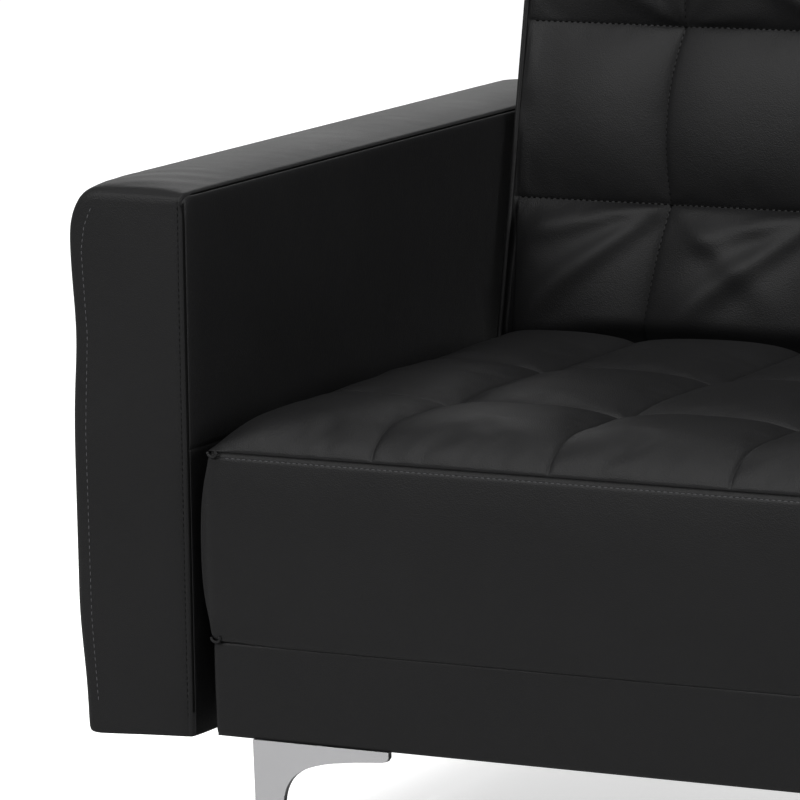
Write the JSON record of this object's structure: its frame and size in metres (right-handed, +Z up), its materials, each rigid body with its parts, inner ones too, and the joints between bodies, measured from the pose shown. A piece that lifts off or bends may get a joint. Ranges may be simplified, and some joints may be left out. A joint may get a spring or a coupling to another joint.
{
  "type": "futon sofa bed",
  "caption": "Click-clack futon sofa bed: a grid-tufted seat and reclining backrest between slab arms, on a wrapped base with bright metal corner legs.",
  "frame": {"origin": "on the floor, below the middle of the object's bounding box", "axes": "+Z up, -Y towards the front of the seat, +X towards the arm on a sitter's left"},
  "size_m": [1.84, 0.794, 0.8388],
  "materials": {
    "cover_leather": "satin",
    "foam": "matte",
    "felt": "matte",
    "dust_cloth": "matte",
    "webbing": "matte",
    "frame_wood": "matte",
    "hardboard": "matte",
    "leg_chrome": "satin",
    "zinc_steel": "satin",
    "hardened_steel": "satin",
    "spring_steel": "satin",
    "black_plastic": "matte",
    "white_nylon": "matte"
  },
  "bodies": {
    "base": {"base_front_rail": "frame_wood", "base_rear_rail": "frame_wood", "base_side_rails": "frame_wood", "base_spring_rail": "frame_wood", "base_centre_beam": "frame_wood", "corner_blocks": "frame_wood", "base_cover": "cover_leather", "dust_cloth": "dust_cloth", "seat_springs": "spring_steel", "spring_clips": "spring_steel", "spring_felt": "felt", "seat_foam": "foam", "seat_cover": "cover_leather", "arm_board_left": "frame_wood", "arm_board_right": "frame_wood", "arm_spacers_left": "frame_wood", "arm_spacers_right": "frame_wood", "arm_hardboard_left": "hardboard", "arm_hardboard_right": "hardboard", "arm_padding_left": "foam", "arm_padding_right": "foam", "arm_cover_left": "cover_leather", "arm_cover_right": "cover_leather", "arm_bolts": "zinc_steel", "arm_bushes": "black_plastic", "arm_tee_nuts": "zinc_steel", "leg_front_left": "leg_chrome", "leg_front_right": "leg_chrome", "leg_rear_left": "leg_chrome", "leg_rear_right": "leg_chrome", "leg_screws": "zinc_steel", "leg_glides": "black_plastic", "hinge_seat_plate_left": "zinc_steel", "hinge_seat_plate_right": "zinc_steel", "hinge_rivet_left": "zinc_steel", "hinge_rivet_right": "zinc_steel", "hinge_spacers": "black_plastic", "hinge_washers": "white_nylon", "pawl_pins": "zinc_steel", "pawl_springs": "spring_steel", "hinge_seat_screws": "zinc_steel"},
    "backrest": {"back_side_stiles": "frame_wood", "back_mid_stiles": "frame_wood", "back_top_rail": "frame_wood", "back_bottom_rail": "frame_wood", "back_webbing": "webbing", "back_foam": "foam", "back_cover": "cover_leather", "back_rear_panel": "cover_leather", "hinge_back_plate_left": "zinc_steel", "hinge_back_plate_right": "zinc_steel", "ratchet_left": "hardened_steel", "ratchet_right": "hardened_steel", "hinge_back_screws": "zinc_steel"},
    "pawl_left": {"pawl_left": "hardened_steel"},
    "pawl_right": {"pawl_right": "hardened_steel"}
  },
  "joints": [
    {"name": "backrest_recline", "type": "hinge", "parent": "base", "child": "backrest", "pos_m": [0, 0.22534, 0.35], "axis": [-1, 0, 0], "range_deg": [-8, 77.7]},
    {"name": "pawl_left_release", "type": "hinge", "parent": "base", "child": "pawl_left", "pos_m": [-0.79325, 0.18034, 0.321], "axis": [-1, 0, 0], "range_deg": [0, 8], "stiffness_Nm_per_rad": 0.2, "springref_deg": -11.46},
    {"name": "pawl_right_release", "type": "hinge", "parent": "base", "child": "pawl_right", "pos_m": [0.79325, 0.18034, 0.321], "axis": [-1, 0, 0], "range_deg": [0, 8], "stiffness_Nm_per_rad": 0.2, "springref_deg": -11.46}
  ]
}
